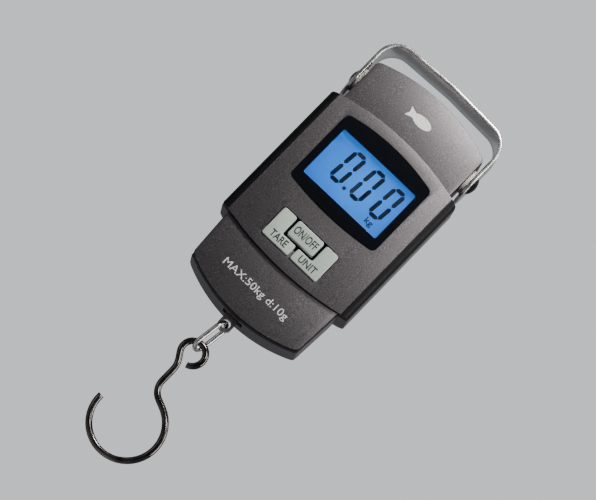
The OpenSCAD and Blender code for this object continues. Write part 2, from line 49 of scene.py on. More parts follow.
# Levels and widths of the case, in metres, taken from the frame
cover_low, cover_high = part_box("front_cover")
lens_low, lens_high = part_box("display_lens")
TOP_Z = cover_high.z
BOTTOM_Z = cover_low.z
MID_HALF = cover_high.x
FACE_Y = cover_low.y                    # the raised face, along its middle
PART_Y = cover_high.y                   # where the two shells meet
BACK_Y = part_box("back_cover")[1].y
STEP = 1.5 * MM                         # height of the raised middle section
LOW_FRONT_Y, LOW_BACK_Y = FACE_Y + STEP, BACK_Y - STEP
WALL = 1.8 * MM
SEAM_TOP_Z = TOP_Z - 21.9 * MM          # upper edge of the middle section, along its middle
SEAM_BOTTOM_Z = SEAM_TOP_Z - 70.9 * MM
washer_low, washer_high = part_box("pivot_washers")
TOP_HALF = washer_high.x - 1.5 * MM
BOTTOM_HALF = 29.2 * MM
CROWN_R = 450 * MM                      # radius of the bowed face, seen from above
PIVOT_Z = (washer_low.z + washer_high.z) / 2
SCREW_SPOTS = ((17.5, -13.3), (28.4, -64), (20.5, -112))    # case screws, x and z in mm
BUTTON_GAP = 1.2 * MM
ON_OFF_HALF, ON_OFF_HEIGHT = 6.7 * MM, 7.4 * MM
LCD_Z = lens_high.z - 19.6 * MM         # middle of the visible crystal
LCD_HALF, LCD_HALF_H = 19.3 * MM, 11.85 * MM


# ---------------------------------------------------------------- materials

def srgb(code):
    """A hex colour as linear light, with alpha 1."""
    parts = [int(code[i:i + 2], 16) / 255 for i in (1, 3, 5)]
    return [p / 12.92 if p <= 0.04045 else ((p + 0.055) / 1.055) ** 2.4 for p in parts] + [1]


def add(tree, kind, values=(), links=(), **settings):
    """A node with its settings, its socket values and the sockets that feed it."""
    made = tree.nodes.new(kind)
    for key, value in settings.items():
        setattr(made, key, value)
    for key, value in dict(values).items():
        made.inputs[key].default_value = value
    for key, source in dict(links).items():
        tree.links.new(source, made.inputs[key])
    return made


def shader(name, values):
    """A material with its Principled shader's own sockets set, and the object's coordinates."""
    made = bpy.data.materials.new(name)
    made.use_nodes = True
    tree = made.node_tree
    surface = tree.nodes["Principled BSDF"]
    for key, value in values.items():
        surface.inputs[key].default_value = value
    place = add(tree, "ShaderNodeTexCoord").outputs["Object"]
    return made, tree, surface, place


def grain(tree, place, size, detail=2.0):
    """Noise whose lumps are size metres wide."""
    return add(tree, "ShaderNodeTexNoise", {"Scale": 1 / size, "Detail": detail},
               {"Vector": place}).outputs["Fac"]


def ramp(tree, source, stops):
    """A colour ramp through (position, hex) stops."""
    made = add(tree, "ShaderNodeValToRGB", links={"Fac": source})
    band = made.color_ramp.elements
    while len(band) < len(stops):
        band.new(0.5)
    for element, (position, code) in zip(band, stops):
        element.position = position
        element.color = srgb(code)
    return made.outputs["Color"]


def spread(tree, source, low, high):
    """A 0 to 1 pattern mapped between two numbers."""
    return add(tree, "ShaderNodeMapRange", {"From Min": 0.3, "From Max": 0.7, "To Min": low,
                                            "To Max": high}, {"Value": source}).outputs["Result"]


def bump(tree, surface, height, strength, depth):
    made = add(tree, "ShaderNodeBump", {"Strength": strength, "Distance": depth}, {"Height": height})
    tree.links.new(made.outputs["Normal"], surface.inputs["Normal"])


def fleck_paint():
    """Grey metallic fleck lacquer on ABS: a soft sheen with light and dark flakes.
    Real flakes are about 0.1 mm, drawn 0.7 mm wide so that they show."""
    made, tree, surface, place = shader("metallic_fleck_lacquer", {
        "Metallic": 0.8, "Roughness": 0.38})
    flakes = grain(tree, place, 0.38 * MM, 2)
    tree.links.new(ramp(tree, flakes, [(0.3, "#4f4b4c"), (0.55, "#625e60"), (0.75, "#7d797b")]),
                   surface.inputs["Base Color"])
    tree.links.new(spread(tree, flakes, 0.34, 0.42), surface.inputs["Roughness"])
    bump(tree, surface, flakes, 0.16, 0.04 * MM)
    return made


def black_abs():
    """Satin moulded black ABS: soft dark highlights with a faint orange peel."""
    made, tree, surface, place = shader("black_moulded_abs", {
        "Base Color": srgb("#0b0a0c"), "IOR": 1.45, "Specular IOR Level": 0.22,
        "Roughness": 0.5})
    tree.links.new(spread(tree, grain(tree, place, 2.5 * MM), 0.46, 0.58),
                   surface.inputs["Roughness"])
    bump(tree, surface, grain(tree, place, 0.9 * MM), 0.06, 0.04 * MM)
    return made


def back_abs():
    """Satin moulded ABS in a warm violet grey, with a fine spark-eroded grain of 0.35 mm."""
    made, tree, surface, place = shader("satin_moulded_abs", {
        "Metallic": 0.25, "IOR": 1.53, "Roughness": 0.42})
    pits = grain(tree, place, 0.35 * MM, 3)
    tree.links.new(ramp(tree, pits, [(0.3, "#4b4246"), (0.7, "#675b61")]),
                   surface.inputs["Base Color"])
    bump(tree, surface, pits, 0.2, 0.05 * MM)
    return made


def bright_nickel():
    """Bright nickel and chrome plated steel: sharp reflections, with faint rub marks."""
    made, tree, surface, place = shader("bright_plated_steel", {
        "Metallic": 1, "Roughness": 0.14})
    rubs = grain(tree, place, 4 * MM, 2)
    tree.links.new(ramp(tree, rubs, [(0.3, "#dcd8d3"), (0.7, "#ece9e4")]),
                   surface.inputs["Base Color"])
    tree.links.new(spread(tree, rubs, 0.18, 0.26), surface.inputs["Roughness"])
    return made


def black_nickel():
    """Black nickel plated steel wire: dark, with sharp bright reflections and worn lighter spots."""
    made, tree, surface, place = shader("black_nickel_steel", {"Metallic": 1, "Roughness": 0.16})
    wear = grain(tree, place, 6 * MM, 2)
    tree.links.new(ramp(tree, wear, [(0.35, "#4d4846"), (0.7, "#8a837f")]),
                   surface.inputs["Base Color"])
    tree.links.new(spread(tree, wear, 0.12, 0.22), surface.inputs["Roughness"])
    return made


def black_steel():
    """Black oxide steel: dark and a little oily, with a soft sheen."""
    made, tree, surface, place = shader("black_oxide_steel", {"Metallic": 0.8, "Roughness": 0.32})
    tone = grain(tree, place, 0.8 * MM, 3)
    tree.links.new(ramp(tree, tone, [(0.3, "#141315"), (0.75, "#2b292b")]),
                   surface.inputs["Base Color"])
    bump(tree, surface, tone, 0.08, 0.03 * MM)
    return made


def zinc_steel():
    """Zinc plated steel of brackets and screws: pale, slightly mottled and dull."""
    made, tree, surface, place = shader("zinc_plated_steel", {"Metallic": 1, "Roughness": 0.35})
    tone = grain(tree, place, 1.2 * MM, 4)
    tree.links.new(ramp(tree, tone, [(0.3, "#8f9296"), (0.7, "#b8babc")]),
                   surface.inputs["Base Color"])
    tree.links.new(spread(tree, tone, 0.28, 0.45), surface.inputs["Roughness"])
    return made


def milled_aluminium():
    """Milled aluminium: fine straight tool marks 0.4 mm apart across the beam."""
    made, tree, surface, place = shader("milled_aluminium", {"Metallic": 1, "Roughness": 0.33})
    marks = add(tree, "ShaderNodeTexWave", {"Scale": 1 / (0.4 * MM) / 6.3, "Distortion": 0.4},
                {"Vector": place}, bands_direction="Z").outputs["Fac"]
    tree.links.new(ramp(tree, marks, [(0.0, "#b4b6b9"), (1.0, "#d0d2d4")]),
                   surface.inputs["Base Color"])
    bump(tree, surface, marks, 0.15, 0.02 * MM)
    return made


def lens_black():
    """Acrylic lens, printed black behind: deep gloss with a few hairline marks."""
    made, tree, surface, place = shader("black_backed_acrylic", {
        "Base Color": srgb("#0a0c11"), "IOR": 1.49, "Roughness": 0.08})
    tree.links.new(spread(tree, grain(tree, place, 6 * MM, 6), 0.05, 0.12),
                   surface.inputs["Roughness"])
    return made


def lens_clear():
    """Clear polished acrylic over the display."""
    made, tree, surface, place = shader("clear_acrylic", {
        "Base Color": srgb("#f4f8ff"), "IOR": 1.2, "Roughness": 0.03, "Transmission Weight": 1})
    bump(tree, surface, grain(tree, place, 9 * MM, 1), 0.02, 0.02 * MM)
    return made


def lit_crystal():
    """Backlit blue display: even light, a little stronger in the middle and uneven at the edges."""
    made, tree, surface, place = shader("backlit_crystal", {
        "Roughness": 0.35, "Emission Strength": 0.85})
    low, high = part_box("lcd_glass")
    span = add(tree, "ShaderNodeMapping", {"Location": -(low + high) / 2}, {"Vector": place})
    round_it = add(tree, "ShaderNodeVectorMath", {1: (28, 0, 42)}, {0: span.outputs["Vector"]},
                   operation="MULTIPLY").outputs["Vector"]
    away = add(tree, "ShaderNodeVectorMath", links={0: round_it}, operation="LENGTH").outputs["Value"]
    mottle = grain(tree, place, 3 * MM, 3)
    both = add(tree, "ShaderNodeMath", {1: 0.25}, {0: mottle}, operation="MULTIPLY").outputs[0]
    total = add(tree, "ShaderNodeMath", links={0: away, 1: both}, operation="ADD").outputs[0]
    blue = ramp(tree, total, [(0.05, "#2f8ce8"), (0.45, "#1f7bdc"), (0.95, "#1460bb")])
    tree.links.new(blue, surface.inputs["Base Color"])
    tree.links.new(blue, surface.inputs["Emission Color"])
    return made


def printed(name, dark, light, roughness):
    """Pad-printed ink with a slightly uneven coat."""
    made, tree, surface, place = shader(name, {"Roughness": roughness})
    tree.links.new(ramp(tree, grain(tree, place, 0.6 * MM, 3), [(0.3, dark), (0.6, light)]),
                   surface.inputs["Base Color"])
    return made


def moulded(name, dark, light, roughness, pit=0.4 * MM, metallic=0.0):
    """A satin moulded or coated piece with a fine grain, pit metres wide."""
    made, tree, surface, place = shader(name, {"Roughness": roughness, "Metallic": metallic})
    pits = grain(tree, place, pit, 3)
    tree.links.new(ramp(tree, pits, [(0.3, dark), (0.7, light)]), surface.inputs["Base Color"])
    bump(tree, surface, pits, 0.12, 0.04 * MM)
    return made


PAINT = fleck_paint()
TRIM = black_abs()
BACK = back_abs()
NICKEL = bright_nickel()
DARK_NICKEL = black_nickel()
OXIDE = black_steel()
ZINC = zinc_steel()
ALLOY = milled_aluminium()
GLOSS = lens_black()
CLEAR = lens_clear()
CRYSTAL = lit_crystal()
SEGMENT = printed("crystal_segment_ink", "#0a1226", "#101b38", 0.4)
WHITE_INK = printed("white_pad_ink", "#cfcfcc", "#efefec", 0.5)
BLACK_INK = printed("black_pad_ink", "#141516", "#25282a", 0.5)
BUTTON = moulded("satin_grey_green_abs", "#aab5a9", "#bcc6ba", 0.45)


# ---------------------------------------------------------------- mesh helpers

def as_object(name, bm):
    """Turns a bmesh into an object with its faces turned outwards."""
    bmesh.ops.recalc_face_normals(bm, faces=bm.faces)
    mesh = bpy.data.meshes.new(name)
    bm.to_mesh(mesh)
    bm.free()
    made = bpy.data.objects.new(name, mesh)
    bpy.context.scene.collection.objects.link(made)
    return made


def settle(name, bm, materials, body, replaces=(), sharp=35, modifiers=()):
    """Makes a piece that rides on a body, with its modifiers applied."""
    piece = as_object(name, bm)
    for material in materials:
        piece.data.materials.append(material)
    if modifiers:
        for kind, settings in modifiers:
            made = piece.modifiers.new(kind.lower(), kind)
            for key, value in settings.items():
                setattr(made, key, value)
        graph = bpy.context.evaluated_depsgraph_get()
        baked = bpy.data.meshes.new_from_object(piece.evaluated_get(graph))
        piece.modifiers.clear()
        piece.data = baked
    if len(materials) == 1:
        piece.data.materials.clear()
        piece.data.materials.append(materials[0])
        for face in piece.data.polygons:
            face.material_index = 0
    piece.data.shade_smooth()
    piece.data.set_sharp_from_angle(angle=math.radians(sharp))
    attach(piece, body)
    if replaces:
        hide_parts(*replaces)
    return piece


SHARP_TURN = math.radians(40)


def corner_turn(face, vert):
    """How sharply the outline of a face turns at one of its corners."""
    loop = next(l for l in face.loops if l.vert is vert)
    before, after = loop.link_loop_prev.vert.co, loop.link_loop_next.vert.co
    return (vert.co - before).angle(after - vert.co)


def plate(corners, y, rounding=0.0, steps=6):
    """A flat face in the XZ plane through (x, z) corners, its sharp corners rounded."""
    bm = bmesh.new()
    face = bm.faces.new([bm.verts.new((x, y, z)) for x, z in corners])
    if rounding:
        turns = [v for v in face.verts if corner_turn(face, v) > SHARP_TURN]
        bmesh.ops.bevel(bm, geom=turns, offset=rounding, affect="VERTICES", segments=steps,
                        profile=0.5, material=-1)
    return bm


def thicken(bm, depth):
    """Extrudes everything along Y, so that a plate becomes a closed block."""
    front = list(bm.faces)
    made = bmesh.ops.extrude_face_region(bm, geom=front)
    moved = [g for g in made["geom"] if isinstance(g, bmesh.types.BMVert)]
    bmesh.ops.translate(bm, verts=moved, vec=(0, depth, 0))
    bmesh.ops.recalc_face_normals(bm, faces=bm.faces)
    return bm


def rim_edges(bm, y, tolerance=0.02 * MM):
    """The edges round the outline of the flat face at y."""
    found = []
    for edge in bm.edges:
        flat = all(abs(v.co.y - y) < tolerance for v in edge.verts)
        walls = [f for f in edge.link_faces if abs(f.normal.y) < 0.5]
        if flat and walls:
            found.append(edge)
    return found


def soften(bm, edges, width, segments=3):
    """Rounds edges with a bevel."""
    bmesh.ops.bevel(bm, geom=edges, offset=width, offset_type="OFFSET", affect="EDGES",
                    segments=segments, profile=0.5, material=-1, clamp_overlap=True)


def slice_at(bm, place, normal):
    """Cuts every face and edge that the plane through place crosses."""
    bmesh.ops.bisect_plane(bm, geom=bm.verts[:] + bm.edges[:] + bm.faces[:], dist=TOUCH,
                           plane_co=place, plane_no=normal)


def slice_x(bm, places):
    for x in places:
        slice_at(bm, (x, 0, 0), (1, 0, 0))


def crown_drop(x):
    """How far the bowed face falls back at x."""
    return CROWN_R - math.sqrt(CROWN_R ** 2 - x * x)


def bow(bm, half, step=2.5 * MM):
    """Bends a plate to the crown of the case."""
    count = int(half / step)
    slice_x(bm, [i * step for i in range(-count, count + 1)])
    for vert in bm.verts:
        vert.co.y += crown_drop(vert.co.x)


def arch(half, level, fall, steps=16):
    """Points from -half to half along an arc that is at level in the middle, fall lower outside."""
    radius = (half * half + fall * fall) / (2 * abs(fall))
    way = math.copysign(1, fall)
    points = []
    for i in range(steps + 1):
        x = half * (2 * i / steps - 1)
        points.append((x, level - way * (radius - math.sqrt(radius * radius - x * x))))
    return points


def walk(bm, ring, moves, place, heading):
    """Carries a ring of edges along straight runs and bends in the XZ plane.
    A move is (length,) or (bend radius, angle in degrees), positive to the left."""
    for move in moves:
        if len(move) == 1:
            made = bmesh.ops.extrude_edge_only(bm, edges=ring)["geom"]
            ring = [g for g in made if isinstance(g, bmesh.types.BMEdge)]
            run = Vector((math.cos(heading), 0, math.sin(heading))) * move[0]
            verts = list({v for e in ring for v in e.verts})
            bmesh.ops.translate(bm, verts=verts, vec=run)
            place = place + run
        else:
            radius, turn = move[0], math.radians(move[1])
            side = math.copysign(1, turn)
            centre = place + Vector((-math.sin(heading), 0, math.cos(heading))) * radius * side
            geom = ring + list({v for e in ring for v in e.verts})
            steps = max(2, round(abs(move[1]) / 8))
            made = bmesh.ops.spin(bm, geom=geom, cent=centre, axis=(0, -1, 0), angle=turn,
                                  steps=steps, use_merge=False)
            ring = [g for g in made["geom_last"] if isinstance(g, bmesh.types.BMEdge)]
            place = centre + Matrix.Rotation(turn, 3, (0, -1, 0)) @ (place - centre)
            heading += turn
    return ring


def wire(radius, place, heading, moves, sides=20):
    """A bent round wire with its ends open."""
    bm = bmesh.new()
    turn = Matrix.Rotation(heading, 4, (0, -1, 0)) @ Matrix.Rotation(math.pi / 2, 4, "Y")
    bmesh.ops.create_circle(bm, segments=sides, radius=radius, matrix=Matrix.Translation(place) @ turn)
    walk(bm, bm.edges[:], moves, place, heading)
    return bm


def close_ends(bm, chamfer):
    """Caps the open ends of a wire and breaks their edges."""
    rims = [e for e in bm.edges if e.is_boundary]
    bmesh.ops.holes_fill(bm, edges=rims, sides=0)
    soften(bm, rims, chamfer, 2)


# ---------------------------------------------------------------- case

TUCK = 9 * MM                           # how far the low sections reach in behind the middle one
ROLL_STEPS = 8
SLICE = 3 * MM                          # distance between the slices that take up the bow


def shell(outline, face_y, half, roll, rim, border, band):
    """One section of a cover: a bowed face with walls back to the seam between the covers.
    roll is the radius at its sides, rim the rounding of its outline, border the width of the
    black edge round the paint and band that edge's width at the sides."""
    inward = 1 if PART_Y > face_y else -1
    bm = plate(outline, face_y)
    if border:
        bmesh.ops.inset_region(bm, faces=bm.faces[:], thickness=border, use_even_offset=True)
        panel = max(bm.faces, key=lambda f: f.calc_area())
        corners = [v for v in panel.verts if corner_turn(panel, v) > SHARP_TURN]
        bmesh.ops.bevel(bm, geom=corners, offset=0.8 * border, affect="VERTICES", segments=5,
                        profile=0.5, material=-1)
    panel = max(bm.faces, key=lambda f: f.calc_area())
    for face in bm.faces:
        face.material_index = 0 if face is panel else 1
    thicken(bm, PART_Y - face_y)
    for face in bm.faces:
        if any(abs(v.co.y - face_y) > TOUCH for v in face.verts):
            face.material_index = 1
    open_side = [f for f in bm.faces if all(abs(v.co.y - PART_Y) < TOUCH for v in f.verts)]
    bmesh.ops.delete(bm, geom=open_side, context="FACES_ONLY")
    flat = half - roll
    count = int(flat / SLICE)
    places = [i * SLICE for i in range(-count, count + 1)] + [flat, -flat]
    if band:
        places += [half - band, band - half]
    if roll:
        for i in range(1, ROLL_STEPS):
            x = flat + roll * math.sin(i / ROLL_STEPS * math.pi / 2)
            places += [x, -x]
    slice_x(bm, sorted(set(places)))
    # A cut round the walls keeps the soft shading of the rolled edge off the flat of the wall
    slice_at(bm, (0, face_y + inward * (roll + 2.8 * MM), 0), (0, 1, 0))
    for vert in bm.verts:
        if abs(vert.co.y - face_y) < TOUCH:
            over = max(0, abs(vert.co.x) - flat)
            fall = roll - math.sqrt(max(0, roll * roll - over * over)) if roll else 0
            vert.co.y += inward * (crown_drop(vert.co.x) + fall)
    bm.normal_update()
    soften(bm, outline_edges(bm, face_y, inward, roll), rim, 4)
    bm.normal_update()
    for face in bm.faces:
        faced = -face.normal.y * inward > 0.9
        if not faced or (band and abs(face.calc_center_median().x) > half - band):
            face.material_index = 1
    return bm


def outline_edges(bm, face_y, inward, roll):
    """The sharp edges round a section's face, without the upright corners of its walls."""
    near = roll + 2.2 * MM
    return [e for e in bm.edges if len(e.link_faces) == 2
            and e.calc_face_angle(0) > math.radians(50)
            and (e.verts[0].co.y - face_y) * inward < near
            and abs(e.verts[0].co.y - e.verts[1].co.y) < 2 * MM]


def mid_outline():
    """Corners of the raised middle section, x and z."""
    upper = arch(MID_HALF, SEAM_TOP_Z, 4.6 * MM, 22)
    lower = arch(MID_HALF, SEAM_BOTTOM_Z, -4.2 * MM, 22)
    return upper + lower[::-1]


def top_outline(half):
    """Corners of the top section, which reaches in behind the middle one."""
    upper = arch(half, TOP_Z, 5.2 * MM, 18)
    under = SEAM_TOP_Z - TUCK
    return upper + [(half, under), (-half, under)]


def bottom_outline(half):
    """Corners of the bottom section, which narrows below the middle one."""
    lower = arch(half - 1.1 * MM, BOTTOM_Z, -6.2 * MM, 18)
    over = SEAM_BOTTOM_Z + TUCK
    upper = [(-half, over), (half, over), (half, SEAM_BOTTOM_Z)]
    return upper + lower[::-1] + [(-half, SEAM_BOTTOM_Z)]


def cut(tool, solver="EXACT"):
    """A Boolean modifier that takes a tool away."""
    return "BOOLEAN", {"operation": "DIFFERENCE", "solver": solver, "object": tool}


def solid_wall():
    """A modifier that gives a shell its wall, inwards."""
    return "SOLIDIFY", {"thickness": WALL, "offset": -1, "use_even_offset": True,
                        "material_offset": 1}


def block(low, high):
    """A box between two corners."""
    bm = bmesh.new()
    size = [b - a for a, b in zip(low, high)]
    middle = [(a + b) / 2 for a, b in zip(low, high)]
    bmesh.ops.create_cube(bm, size=1, matrix=Matrix.Translation(middle) @ Matrix.Diagonal((*size, 1)))
    return bm


def lens_plate(extra=0.0):
    """The lens's outline as a flat plate, larger by extra all round."""
    half = (lens_high.x - lens_low.x) / 2 + extra
    upper = arch(half, lens_high.z + extra, 2.7 * MM, 14)
    lower = arch(half, lens_low.z - extra, -2.1 * MM, 14)
    return plate(upper + lower[::-1], 0, 2 * MM)


def button_rect():
    """Half the width, the lowest and the highest level of the block of three buttons, without
    the lips that keep the buttons in."""
    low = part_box("tare_button")[0]
    return -low.x - 1 * MM, low.z + 1 * MM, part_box("on_off_button")[1].z - 1.8 * MM


def drill(spots, axis, radius, sides):
    """Round tools 12 mm long, centred on spots."""
    bm = bmesh.new()
    for spot in spots:
        bmesh.ops.create_cone(bm, cap_ends=True, segments=sides, radius1=radius, radius2=radius,
                              depth=12 * MM, matrix=Matrix.Translation(spot)
                              @ Matrix.Rotation(math.pi / 2, 4, axis))
    return bm


def button_room():
    """The opening for the buttons, with play round them."""
    half, low_z, high_z = button_rect()
    play = 0.45 * MM
    half, low_z, high_z = half + play, low_z - play, high_z + play
    bm = plate([(-half, low_z), (half, low_z), (half, high_z), (-half, high_z)],
               FACE_Y - 2 * MM, 1.3 * MM, 5)
    return thicken(bm, 8 * MM)


def lens_room():
    """The recess for the lens, 1.3 mm deep."""
    bm = lens_plate(0.25 * MM)
    bmesh.ops.translate(bm, verts=bm.verts, vec=(0, FACE_Y - 5 * MM, 0))
    return thicken(bm, 6.3 * MM)


def make_tools():
    """The hidden tools that cut the openings of the covers."""
    margin_x, margin_z = LCD_HALF + MM, LCD_HALF_H + 1.4 * MM
    sides = (-1, 1)
    rooms = {
        "lens_tool": lens_room(),
        "window_tool": block((-margin_x, FACE_Y - MM, LCD_Z - margin_z),
                             (margin_x, FACE_Y + 6 * MM, LCD_Z + margin_z)),
        "button_tool": button_room(),
        "pivot_tool": drill([(side * TOP_HALF, 0, PIVOT_Z) for side in sides], "Y", 2.6 * MM, 32),
        "notch_tool": block((-5 * MM, -4 * MM, BOTTOM_Z - 5 * MM), (5 * MM, 4 * MM, BOTTOM_Z + MM)),
        "slot_tool": block((-3.5 * MM, -1.7 * MM, BOTTOM_Z - 5 * MM),
                           (3.5 * MM, 1.7 * MM, BOTTOM_Z + 5 * MM)),
        "door_tool": block((-13.8 * MM, BACK_Y - 6 * MM, SEAM_BOTTOM_Z - 3 * MM),
                           (13.8 * MM, BACK_Y + 6 * MM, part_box("battery_door")[1].z + 0.2 * MM)),
        "screw_tool": drill([(side * x * MM, BACK_Y, z * MM) for x, z in SCREW_SPOTS
                             for side in sides], "X", 2.5 * MM, 28),
    }
    return [as_object(name, bm) for name, bm in rooms.items()]


def make_covers():
    tools = make_tools()
    lens, windows, buttons, pivots, notches, slots, doors, screws = (cut(t) for t in tools)
    fine_screws = cut(tools[-1], "MANIFOLD")
    mid, top, bottom = mid_outline(), top_outline(TOP_HALF), bottom_outline(BOTTOM_HALF)
    # Each section: its name, outline, face, half width, roll, rim, border, band and cuts
    front = (
        ("front_middle_shell", mid, FACE_Y, MID_HALF, 3.2, 0.5, 0.9, 3.4, [lens, windows, buttons]),
        ("front_top_shell", top, LOW_FRONT_Y, TOP_HALF, 0, 0.8, 2, 0, [pivots]),
        ("front_bottom_shell", bottom, LOW_FRONT_Y, BOTTOM_HALF, 0, 1.3, 2.4, 0, [notches, slots]),
    )
    rear = (
        ("rear_middle_shell", mid, BACK_Y, MID_HALF, 3, 0.9, 0, 0, [doors, screws]),
        ("rear_top_shell", top, LOW_BACK_Y, TOP_HALF, 0, 1.5, 0, 0, [pivots, fine_screws]),
        ("rear_bottom_shell", bottom, LOW_BACK_Y, BOTTOM_HALF, 0, 1.7, 0, 0,
         [notches, slots, screws]),
    )
    for sections, materials, slot, node in ((front, [PAINT, TRIM], "face_paint", "front_cover"),
                                            (rear, [BACK], "back_plastic", "back_cover")):
        for name, outline, face_y, half, roll, rim, border, band, cuts in sections:
            bm = shell(outline, face_y, half, roll * MM, rim * MM, border * MM, band * MM)
            settle(name, bm, materials, "case", [node], 35, [solid_wall(), *cuts])
    for tool in tools:
        bpy.data.objects.remove(tool)


# ---------------------------------------------------------------- handle, link and hook

def make_handle():
    low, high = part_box("handle_strap")
    thickness = 1.5 * MM
    bend = 10 * MM
    lean = 4.75                          # slope of the grip where it meets the bends, in degrees
    half_grip = high.x - bend * (1 - math.cos(math.radians(90 - lean)))
    grip_r = half_grip / math.sin(math.radians(lean))
    rise = grip_r * (1 - math.cos(math.radians(lean)))
    bend_z = high.z - rise - bend * math.sin(math.radians(90 - lean))
    bm = bmesh.new()
    foot = [bm.verts.new((high.x, y, low.z)) for y in (low.y, high.y)]
    edge = bm.edges.new(foot)
    walk(bm, [edge], [(bend_z - low.z,), (bend, 90 - lean), (grip_r, 2 * lean), (bend, 90 - lean),
                      (bend_z - low.z,)], Vector((high.x, 0, low.z)), math.pi / 2)
    feet = [v for v in bm.verts if abs(v.co.z - low.z) < 1e-6]
    bmesh.ops.bevel(bm, geom=feet, offset=high.y * 0.97, affect="VERTICES", segments=10,
                    profile=0.5, material=-1)
    bmesh.ops.recalc_face_normals(bm, faces=bm.faces)
    outward = sum((f.normal.x * f.calc_center_median().x for f in bm.faces))
    if outward < 0:
        bmesh.ops.reverse_faces(bm, faces=bm.faces)
    bmesh.ops.solidify(bm, geom=bm.faces[:], thickness=thickness)
    bm.normal_update()
    sharp = [e for e in bm.edges if e.calc_face_angle(0) > math.radians(60)]
    soften(bm, sharp, 0.3 * MM, 3)
    settle("strap_handle", bm, [NICKEL], "handle", ["handle_strap"])


def make_hook():
    """The hook's wire: open eye, neck, shank, foot and bowl, tangent to each other."""
    eye_x, eye_r, eye_from, eye_to = -1.3 * MM, 5 * MM, -76, 213
    shank_x, neck_r, foot_r = -2.45 * MM, 9 * MM, 7 * MM
    bowl_x, bowl_r, tip = -0.8 * MM, 14.8 * MM, -183.5
    low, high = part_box("hook")
    wire_r = 1.4 * MM
    eye_z = high.z - wire_r - eye_r
    bowl_z = low.z + wire_r + bowl_r
    neck_turn = math.radians(eye_to - 180)
    neck_x = shank_x - neck_r
    neck_z = eye_z - (eye_r + neck_r + (neck_x - eye_x) * math.cos(neck_turn)) / math.sin(neck_turn)
    foot = Vector((shank_x + foot_r - bowl_x, 21.4 * MM))
    foot_turn = math.asin((foot_r + bowl_r) / foot.length) - math.atan2(foot.x, foot.y)
    neck_run = ((neck_x - eye_x) * math.sin(neck_turn) + (eye_z - neck_z) * math.cos(neck_turn))
    foot_run = foot.y * math.cos(foot_turn) - foot.x * math.sin(foot_turn)
    start = math.radians(eye_from)
    place = Vector((eye_x + eye_r * math.cos(start), 0, eye_z + eye_r * math.sin(start)))
    moves = [(eye_r, eye_to - eye_from), (neck_run,), (neck_r, -math.degrees(neck_turn)),
             (neck_z - bowl_z - foot.y,), (foot_r, math.degrees(foot_turn)), (foot_run,),
             (bowl_r, tip - math.degrees(foot_turn))]
    bm = wire(wire_r, place, start + math.pi / 2, moves)
    close_ends(bm, 0.25 * MM)
    settle("wire_hook", bm, [DARK_NICKEL], "hook", ["hook"])


def make_link():
    """An oblong loop of wire, turned and leaning as it hangs in the load eye."""
    wire_r, bend_r, length, top_z = 1 * MM, 3.3 * MM, 15.5 * MM, -129 * MM
    run = length - 2 * bend_r
    bm = wire(wire_r, Vector((bend_r, 0, -bend_r - run)), math.pi / 2,
              [(run,), (bend_r, 180), (run,), (bend_r, 180)], 16)
    bmesh.ops.remove_doubles(bm, verts=bm.verts, dist=1e-5)
    turn = (Matrix.Translation((0, 0, top_z)) @ Matrix.Rotation(math.radians(8), 4, "Y")
            @ Matrix.Rotation(math.radians(66), 4, "Z"))
    bmesh.ops.transform(bm, verts=bm.verts, matrix=turn)
    settle("wire_link", bm, [NICKEL], "link", ["link"])


# ---------------------------------------------------------------- display and buttons

def make_display():
    recess = 0.15 * MM
    bm = lens_plate()
    bmesh.ops.translate(bm, verts=bm.verts, vec=(0, FACE_Y + recess, 0))
    thicken(bm, 1.1 * MM)
    soften(bm, rim_edges(bm, FACE_Y + recess), 0.12 * MM, 2)
    bow(bm, lens_high.x)
    window = block((-LCD_HALF, FACE_Y - 2 * MM, LCD_Z - LCD_HALF_H),
                   (LCD_HALF, FACE_Y + 4 * MM, LCD_Z + LCD_HALF_H))
    upright = [e for e in window.edges if abs(e.verts[0].co.y - e.verts[1].co.y) > MM]
    soften(window, upright, 0.8 * MM, 4)
    tool = as_object("lens_window_tool", window)
    settle("lens_border", bm, [GLOSS], "case", ["display_lens"], 15, [cut(tool)])
    bpy.data.objects.remove(tool)
    across, up = LCD_HALF - 0.1 * MM, LCD_HALF_H - 0.1 * MM
    pane = plate([(-across, LCD_Z - up), (across, LCD_Z - up), (across, LCD_Z + up),
                  (-across, LCD_Z + up)], FACE_Y + recess + 0.05 * MM, 0.8 * MM)
    thicken(pane, 1 * MM)
    bow(pane, across)
    settle("lens_window", pane, [CLEAR], "case", ["display_lens"])


SEGMENTS = {"top": (0, 1, 0), "upper_left": (-1, 0.5, 1), "upper_right": (1, 0.5, 1),
            "middle": (0, 0, 0), "lower_left": (-1, -0.5, 1), "lower_right": (1, -0.5, 1),
            "bottom": (0, -1, 0)}


def segment(bm, x, z, long, wide, upright, y):
    """One bar of a digit, with pointed ends."""
    half, tip = long / 2, wide / 2
    ring = [(-half, 0), (-half + tip, tip), (half - tip, tip), (half, 0), (half - tip, -tip),
            (-half + tip, -tip)]
    if upright:
        ring = [(b, a) for a, b in ring]
    bm.faces.new([bm.verts.new((x + a, y, z + b)) for a, b in ring])


